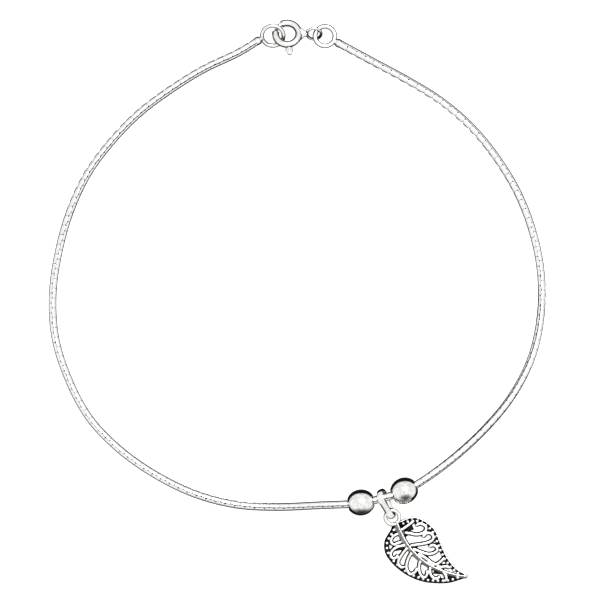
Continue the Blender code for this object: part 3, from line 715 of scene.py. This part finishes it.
def make_bead(name, node_name, line, at, painted_reflection):
    """A hollow ball with a rolled-in lip round each end of its bore."""
    bore = BEAD_BORE / 2
    start = math.asin((bore + BEAD_LIP) / BEAD_DIA * 2)
    turns = np.linspace(start, math.pi - start, 49)
    outer = [(BEAD_DIA / 2 * math.sin(turn), BEAD_LENGTH / 2 * math.cos(turn)) for turn in turns]
    mouth = outer[0][1] - BEAD_LIP
    turned = [
        (bore + BEAD_LIP * (1 - math.sin(turn)), mouth + BEAD_LIP * math.cos(turn))
        for turn in np.linspace(0.3, math.pi / 2, 5)
    ]
    profile = [*outer, *[(x, -y) for x, y in turned], *reversed(turned)]
    bm = bmesh.new()
    verts = [bm.verts.new((x, 0, z)) for x, z in profile]
    edges = [bm.edges.new(pair) for pair in zip(verts, verts[1:] + verts[:1])]
    bmesh.ops.spin(
        bm, geom=[*verts, *edges], cent=(0, 0, 0), axis=UP, angle=2 * math.pi, steps=72, use_merge=True,
    )
    centre, heading = place_on(line, at, BEAD_LENGTH)
    bm.transform(Matrix.Translation(centre) @ heading.to_track_quat("Z", "Y").to_matrix().to_4x4())
    bmesh.ops.recalc_face_normals(bm, faces=bm.faces)
    mark_recesses(bm, RECESS_REACH)
    # Paints a dark reflection on the bead's lower front side
    mark_painted_reflection(bm, centre + Vector(painted_reflection[0]), painted_reflection[1])
    finish_piece(name, bm, [buffed_silver], node_name, sharp=60)


def solder_root(bm, root, wire):
    """A waisted cone of solder from the ring's wire, which runs out over the chain's first plates."""
    start, end = root
    heading = (end - start).normalized()
    over = end + heading * (SOLDER_GAP + SOLDER_RUN)
    path = [start.lerp(end, share) for share in (0, 0.35, 0.6, 0.85)] + [end, end.lerp(over, 0.7), over]
    radius = CHAIN_DIA / 2
    widths = [wire * 0.66, wire * 0.58, *(radius * share for share in (0.92, 1.02, 1.07, 1.06, 0.98))]
    sweep(bm, frames_on(path, [(w, w) for w in widths]), sides=20)


def make_end_ring(name, node_name, ring_frame, radius, wire, root):
    bm = bmesh.new()
    spun_ring(bm, ring_frame, radius, wire)
    solder = bmesh.new()
    solder_root(solder, root, wire)
    ring = worked(bm, [joined("root", solder)])
    finish_piece(
        name, ring, [buffed_silver], node_name, sharp=50, side_shade=RING_PAINTED_SIDE_SHADE, rise=RING_FLANK_RISE,
    )


def make_clasp_ring():
    """The hollow ring with its tail eyelet, its open mouth, and the slot that the knob runs in."""
    up = frame_up(CLASP_FRAME)

    def arc_tube(radius, start, end, sides, step=5):
        bm = bmesh.new()
        path = arc_points(CLASP_FRAME, CLASP_R, start, end, step)
        sweep(bm, frames_on(path, [(radius, radius)] * len(path), up), sides=sides)
        return bm

    eyelet = bmesh.new()
    spun_ring(eyelet, EYELET_FRAME, EYELET_R, EYELET_WIRE, sides=16, around=48)
    neck = bmesh.new()
    ends = CLASP_FRAME @ ring_point(CLASP_R, 0), EYELET_FRAME @ ring_point(EYELET_R, math.pi)
    path = [ends[0].lerp(ends[1], share) for share, _ in NECK_SHAPE]
    sizes = [(NECK_WIDTH / 2 * flare, NECK_THICK / 2) for _, flare in NECK_SHAPE]
    sweep(neck, frames_on(path, sizes), sides=20)
    slot = bmesh.new()
    half = STEM_DIA / 2 + RUNNING_GAP
    ease = math.degrees(half / CLASP_R)
    path = arc_points(CLASP_FRAME, CLASP_R, KNOB_TURN - ease, KNOB_TURN + BOLT_TRAVEL + ease, 5)
    section = [(0, -half), (0, half), (-CLASP_TUBE_DIA, half), (-CLASP_TUBE_DIA, -half)]
    sweep(slot, frames_on(path, [(1, 1)] * len(path), up), section)
    bm = worked(
        arc_tube(CLASP_TUBE_DIA / 2, MOUTH_TO, MOUTH_FROM + 360, 28),
        [
            joined("eyelet", eyelet), joined("neck", neck),
            cut("bore", arc_tube(CLASP_TUBE_DIA / 2 - CLASP_WALL, MOUTH_TO - 6, MOUTH_FROM + 366, 20)),
            cut("slot", slot),
        ],
    )
    finish_piece(
        "hollow_bolt_ring", bm, [buffed_silver], "clasp_ring", sharp=35,
        side_shade=RING_PAINTED_SIDE_SHADE, rise=RING_FLANK_RISE,
    )


def make_clasp_bolt():
    """The curved bolt with its round tip, and the knob that a thumbnail pulls back."""
    up = frame_up(CLASP_FRAME)
    radius = CLASP_TUBE_DIA / 2 - CLASP_WALL - RUNNING_GAP
    bm = bmesh.new()
    path = arc_points(CLASP_FRAME, CLASP_R, MOUTH_FROM - BOLT_REACH, KNOB_TURN + BOLT_TAIL, 3)
    sweep(bm, frames_on(path, rounded_ends(path, radius, radius, radius), up), sides=18)
    turn = math.radians(KNOB_TURN)
    base = CLASP_R + CLASP_TUBE_DIA / 2 + RUNNING_GAP
    tangent = (CLASP_FRAME.to_3x3() @ ring_point(1, turn + math.pi / 2)).normalized()
    stem = bmesh.new()
    path = [CLASP_FRAME @ ring_point(r, turn) for r in (CLASP_R, base + KNOB_LENGTH / 2)]
    sweep(stem, frames_on(path, [(STEM_DIA / 2, STEM_DIA / 2)] * 2, tangent), sides=14)
    knob = bmesh.new()
    shape = [(0, 0.88), (0.06, 1), (0.5, 1), (0.88, 1), (0.96, 0.94), (1, 0.78)]
    path = [CLASP_FRAME @ ring_point(base + KNOB_LENGTH * share, turn) for share, _ in shape]
    sizes = []
    for share, ease in shape:
        width = KNOB_ROOT + (KNOB_TIP - KNOB_ROOT) * share
        sizes.append((KNOB_THICK / 2 * (1 - 0.25 * share ** 2) * ease, width / 2 * ease))
    sweep(knob, frames_on(path, sizes, tangent), sides=28)
    bm = worked(bm, [joined("stem", stem), joined("knob", knob)])
    finish_piece(
        "curved_bolt", bm, [buffed_silver], "clasp_bolt", body="clasp_bolt", sharp=45,
        side_shade=BOLT_PAINTED_SIDE_SHADE,
    )


def make_bail(line):
    """A flat band closed to a loop, round the chain and through the leaf's eyelet."""
    eyelet = Vector((*LEAF_AT, LEAF_EYELET_Z))
    top, _ = place_on(line, BAIL_AT, BAIL_WIDTH)
    level = Vector((eyelet.x - top.x, eyelet.y - top.y, 0)).normalized()
    band = eyelet - level * LEAF_EYELET_R
    down = (band - top).normalized()
    across = level.cross(UP)
    top_r = CHAIN_DIA / 2 + BAIL_ROOM + BAIL_THICK / 2
    end_rise = LEAF_EYELET_WIRE / 2 + LINK_GAP + BAIL_THICK / 2
    end_reach = LEAF_EYELET_R - LINK_GAP
    loop = []
    for centre, ahead, reach, lift, turns in (
        (top, down, top_r, top_r, range(90, 271, 10)),
        (band, level, end_reach, end_rise, range(-90, 91, 10)),
    ):
        rise = Matrix.Rotation(BAIL_LEAN, 3, ahead) @ across.cross(ahead).normalized()
        for turn in map(math.radians, turns):
            loop.append(centre + ahead * reach * math.cos(turn) + rise * lift * math.sin(turn))
    loop = evenly(np.array([*loop, loop[0]]), 0.14)[:-1]
    bm = bmesh.new()
    sizes = [(BAIL_THICK / 2, BAIL_WIDTH / 2)] * len(loop)
    sweep(bm, frames_on(loop, sizes, across, closed=True), sides=20, closed=True)
    finish_piece("smooth_bail", bm, [buffed_silver], "bail", sharp=60)


# The leaf, made flat in its own frame, with x towards the tip and y across


def leaf_line(shares, z=0.0, spacing=0.25):
    points = [(along * LEAF_LENGTH, across * LEAF_WIDTH, z) for along, across in shares]
    return evenly(smooth_curve(points), spacing)


def inset_line(line, inset):
    """The line moved to its left."""
    heading = np.gradient(line, axis=0)
    heading /= np.linalg.norm(heading, axis=1)[:, None]
    return line + np.column_stack([-heading[:, 1], heading[:, 0], 0 * heading[:, 0]]) * inset


def add_rim(bm, edge, inwards, wire, height):
    """The rim's upright wire, the web inside it, and the row of granules on the web."""
    line = leaf_line(edge)
    path = inset_line(line, inwards * wire / 2)
    section = [(-1, 0), (1, 0), (1, 0.80), (0.80, 0.97), (0.55, 1), (-0.35, 1), (-0.60, 0.92), (-1, 0.2)]
    sweep(bm, frames_on(path, [(wire / 2, height)] * len(path)), [(x * inwards, y) for x, y in section])
    along = lengths_along(line)
    widths = (RIM_WIDTH - wire / 2) * np.clip((along[-1] - along) / RIM_TAPER_RUN, 0.05, 1)
    band = [inset_line(line, inwards * (wire + width) / 2)[i] for i, width in enumerate(widths)]
    section = [(-1, 0), (1, 0), (1, 0.85), (0.8, 1), (-0.8, 1), (-1, 0.85)]
    sweep(bm, frames_on(band, [(width / 2, WEB_HEIGHT) for width in widths]), section)
    track = evenly(inset_line(line, inwards * (wire + RIM_GROOVE + GRANULE_DIA / 2)), GRANULE_PITCH)
    to_tip = lengths_along(track)[::-1]
    for point in track[1:][to_tip[1:] > GRANULE_STOP]:
        place = Matrix.Translation(Vector(point) + UP * (WEB_HEIGHT + GRANULE_RISE))
        bmesh.ops.create_icosphere(bm, subdivisions=3, radius=GRANULE_DIA / 2, matrix=place)


def mark_black_dip_and_rib_shade(bm):
    """Adds to each point's recess what the dip left black, all that lies low, and painted shade on the rib's
    long flank.
    """
    layer = bm.verts.layers.float["recess"]
    rib = [Vector(point) for point in leaf_line(RIB_LINE)]
    for vert in bm.verts:
        low = (BUFFED_ABOVE - vert.co.z) / (BUFFED_ABOVE - BLACK_BELOW)
        vert[layer] = max(vert[layer], min(max(low, 0), 1))
        near = min(rib, key=lambda point: (point.xy - vert.co.xy).length_squared)
        # Painted shade on the rib's side that faces away from the ridge
        if (near.xy - vert.co.xy).length < RIB_WIDTH / 2 and -0.9 < vert.normal.y < -0.3:
            vert[layer] = max(vert[layer], RIB_PAINTED_SHADE)


def make_leaf():
    """One casting: rim with granules, scrolls, ridged midrib and eyelet, pierced between them."""
    bm = bmesh.new()
    add_rim(bm, UPPER_EDGE, -1, *UPPER_RIM)
    add_rim(bm, LOWER_EDGE, 1, *LOWER_RIM)
    rounded = [(1, 0.22), (0.66, 0.62), (0.54, 0.92), (0.34, 1)]
    rounded = [(-1, 0), (1, 0), *rounded, *((-x, y) for x, y in reversed(rounded))]
    for shares in SCROLLS.values():
        line = leaf_line(shares, BACK_RELIEF, 0.1)
        ends = rounded_ends(line, SCROLL_WIDTH / 2, 1, SCROLL_WIDTH / 2)
        sizes = [(width, (SCROLL_HEIGHT - BACK_RELIEF) * (0.75 + 0.25 * share)) for width, share in ends]
        sweep(bm, frames_on(line, sizes), rounded)
    for start, end, first, last in WEBS:
        line = leaf_line([start, end], BACK_RELIEF)
        sizes = [(w / 2, WEB_HEIGHT - BACK_RELIEF) for w in np.linspace(first, last, len(line))]
        sweep(bm, frames_on(line, sizes), [(-1, 0), (1, 0), (1, 1), (-1, 1)])
    line = leaf_line(RIB_LINE, BACK_RELIEF / 2)
    ridged = [
        (-1, 0), (1, 0), (1, 0.42), (0.80, 0.62), (0.70, 0.93), (0.52, 1), (0.25, 1), (0.10, 0.94),
        (-0.92, 0.56), (-1, 0.40),
    ]
    sizes = [(RIB_WIDTH / 2 * s, RIB_HEIGHT * s) for s in np.linspace(1, RIB_TAPER, len(line))]
    sweep(bm, frames_on(line, sizes), ridged)
    spun_ring(bm, Matrix.Translation((0, 0, LEAF_EYELET_Z)), LEAF_EYELET_R, LEAF_EYELET_WIRE)
    bm = worked(bm, [
        ("REMESH", {"mode": "VOXEL", "voxel_size": CASTING_GRAIN}),
        ("SMOOTH", {"factor": 0.5, "iterations": 3}),
        ("TRIANGULATE", {}),
    ])
    bmesh.ops.recalc_face_normals(bm, faces=bm.faces)
    mark_recesses(bm, LEAF_RECESS_REACH)
    mark_black_dip_and_rib_shade(bm)
    # Painted shade on the sides of the scrolls and rim that turn away from the top
    mark_painted_side_shade(bm, LEAF_PAINTED_SIDE_SHADE, LEAF_FLANK_RISE)
    bm.transform(Matrix.Translation((*LEAF_AT, 0)) @ Matrix.Rotation(LEAF_TURN, 4, "Z"))
    finish_piece("filigree_leaf", bm, [dipped_silver], "leaf_charm", sharp=180)


# Studio

TENT_SIDES = 0.35  # how much further down the tent's white reaches at the sides than at the back
TENT_FRONT = 0.08  # and at the front
FLOOR_HALF = 1.5  # metres, as are all sizes and places in the studio
CAMERA_AT = (0.000475, 0.000258, 1.1112)
LENS_LENGTH = 400  # millimetres, as is the sensor
SENSOR_WIDTH = 36
SOFT_BOX_AT = (0.22, 0.40, 1.32)
SOFT_BOX_SIZE = 0.77
SOFT_BOX_POWER = 14.5


def add_floor():
    """A pale table, matt, so wide that it fills every view."""
    bm = bmesh.new()
    bmesh.ops.create_grid(bm, x_segments=1, y_segments=1, size=FLOOR_HALF)
    mesh = bpy.data.meshes.new("table top")
    bm.to_mesh(mesh)
    bm.free()
    material = bpy.data.materials.new("opal acrylic, lit from below")
    material.use_nodes = True
    shader = material.node_tree.nodes["Principled BSDF"]
    shader.inputs["Base Color"].default_value = colour("F6F6F5")
    shader.inputs["Roughness"].default_value = 0.8
    shader.inputs["Emission Color"].default_value = colour("FFFFFF")
    shader.inputs["Emission Strength"].default_value = 0.6
    mesh.materials.append(material)
    floor = bpy.data.objects.new("table_top", mesh)
    bpy.context.scene.collection.objects.link(floor)
    floor.visible_glossy = False


def add_world():
    """A white tent down to the table's edge. Below it all is dark, which draws the metal's dark edges."""
    world = bpy.data.worlds.new("light tent")
    bpy.context.scene.world = world
    world.use_nodes = True
    tree = world.node_tree
    shade = tree.nodes["Background"]
    direction = node(tree, "ShaderNodeTexCoord").outputs["Generated"]
    parts = node(tree, "ShaderNodeSeparateXYZ", [(direction, 0)])
    sides = node(
        tree, "ShaderNodeMath", [(parts.outputs["X"], 0), (parts.outputs["X"], 1)], operation="MULTIPLY",
    )
    height = node(
        tree, "ShaderNodeMath", [(sides.outputs[0], 0), (parts.outputs["Z"], 2)], operation="MULTIPLY_ADD",
        inputs={1: TENT_SIDES},
    )
    front = node(tree, "ShaderNodeMath", [(parts.outputs["Y"], 0)], operation="MINIMUM", inputs={1: 0.0})
    skirt = node(
        tree, "ShaderNodeMath", [(front.outputs[0], 0), (height.outputs[0], 2)], operation="MULTIPLY_ADD",
        inputs={1: -TENT_FRONT},
    )
    level = node(tree, "ShaderNodeMapRange", [(skirt.outputs[0], "Value")], inputs={"From Min": -1.0})
    tent = ramp(tree, level.outputs["Result"], [
        (0.0, "585858"), (0.10, "303030"), (0.25, "141414"), (0.455, "101010"), (0.50, "606060"),
        (0.535, "D0D0D0"), (0.59, "ECECEC"), (0.70, "F8F8F8"), (1.0, "FFFFFF"),
    ])
    folds = node(tree, "ShaderNodeTexNoise", [(direction, "Vector")], inputs={"Scale": 2.6, "Detail": 3.0})
    cloth = ramp(tree, folds.outputs["Fac"], [
        (0.0, "CCCCCC"), (0.40, "E2E2E2"), (0.56, "FFFFFF"), (1.0, "FFFFFF"),
    ])
    lit = node(
        tree, "ShaderNodeMix", [(tent.outputs["Color"], "A"), (cloth.outputs["Color"], "B")],
        data_type="RGBA", blend_type="MULTIPLY", inputs={"Factor": 1.0},
    )
    tree.links.new(lit.outputs[2], shade.inputs["Color"])
    shade.inputs["Strength"].default_value = 1.10
    seen = node(tree, "ShaderNodeBackground", inputs={"Color": colour("F4F4F4"), "Strength": 1.0})
    camera_ray = node(tree, "ShaderNodeLightPath").outputs["Is Camera Ray"]
    both = node(tree, "ShaderNodeMixShader", [
        (camera_ray, 0), (shade.outputs[0], 1), (seen.outputs[0], 2),
    ])
    tree.links.new(both.outputs[0], tree.nodes["World Output"].inputs["Surface"])


def add_lamp(name, location, size, power):
    lamp = bpy.data.lights.new(name, "AREA")
    lamp.size = size
    lamp.energy = power
    obj = bpy.data.objects.new(name, lamp)
    obj.location = location
    obj.rotation_euler = (-Vector(location)).to_track_quat("-Z", "Y").to_euler()
    bpy.context.scene.collection.objects.link(obj)


def add_camera():
    """Straight above the loop, with the photograph's frame of 100 mm by 100 mm on the table."""
    lens = bpy.data.cameras.new("top view")
    lens.lens = LENS_LENGTH
    lens.sensor_width = SENSOR_WIDTH
    lens.clip_start = 0.01
    camera = bpy.data.objects.new("top view", lens)
    camera.location = CAMERA_AT
    bpy.context.scene.collection.objects.link(camera)
    bpy.context.scene.camera = camera


bpy.context.scene.view_settings.view_transform = "Standard"
add_camera()
add_world()
add_lamp("overhead soft box", SOFT_BOX_AT, SOFT_BOX_SIZE, SOFT_BOX_POWER)
add_floor()

line = chain_line()
make_chain(line)
make_bead("polished_bead_left", "bead_left", line, LEFT_BEAD_AT, LEFT_BEAD_PAINTED_REFLECTION)
make_bead("polished_bead_right", "bead_right", line, RIGHT_BEAD_AT, RIGHT_BEAD_PAINTED_REFLECTION)
make_bail(line)
make_end_ring("soldered_ring_left", "end_ring_left", LEFT_FRAME, LEFT_R, LEFT_RING_WIRE, LEFT_ROOT)
make_end_ring("soldered_ring_right", "end_ring_right", RIGHT_FRAME, RIGHT_R, RIGHT_RING_WIRE, RIGHT_ROOT)
make_clasp_ring()
make_clasp_bolt()
make_leaf()
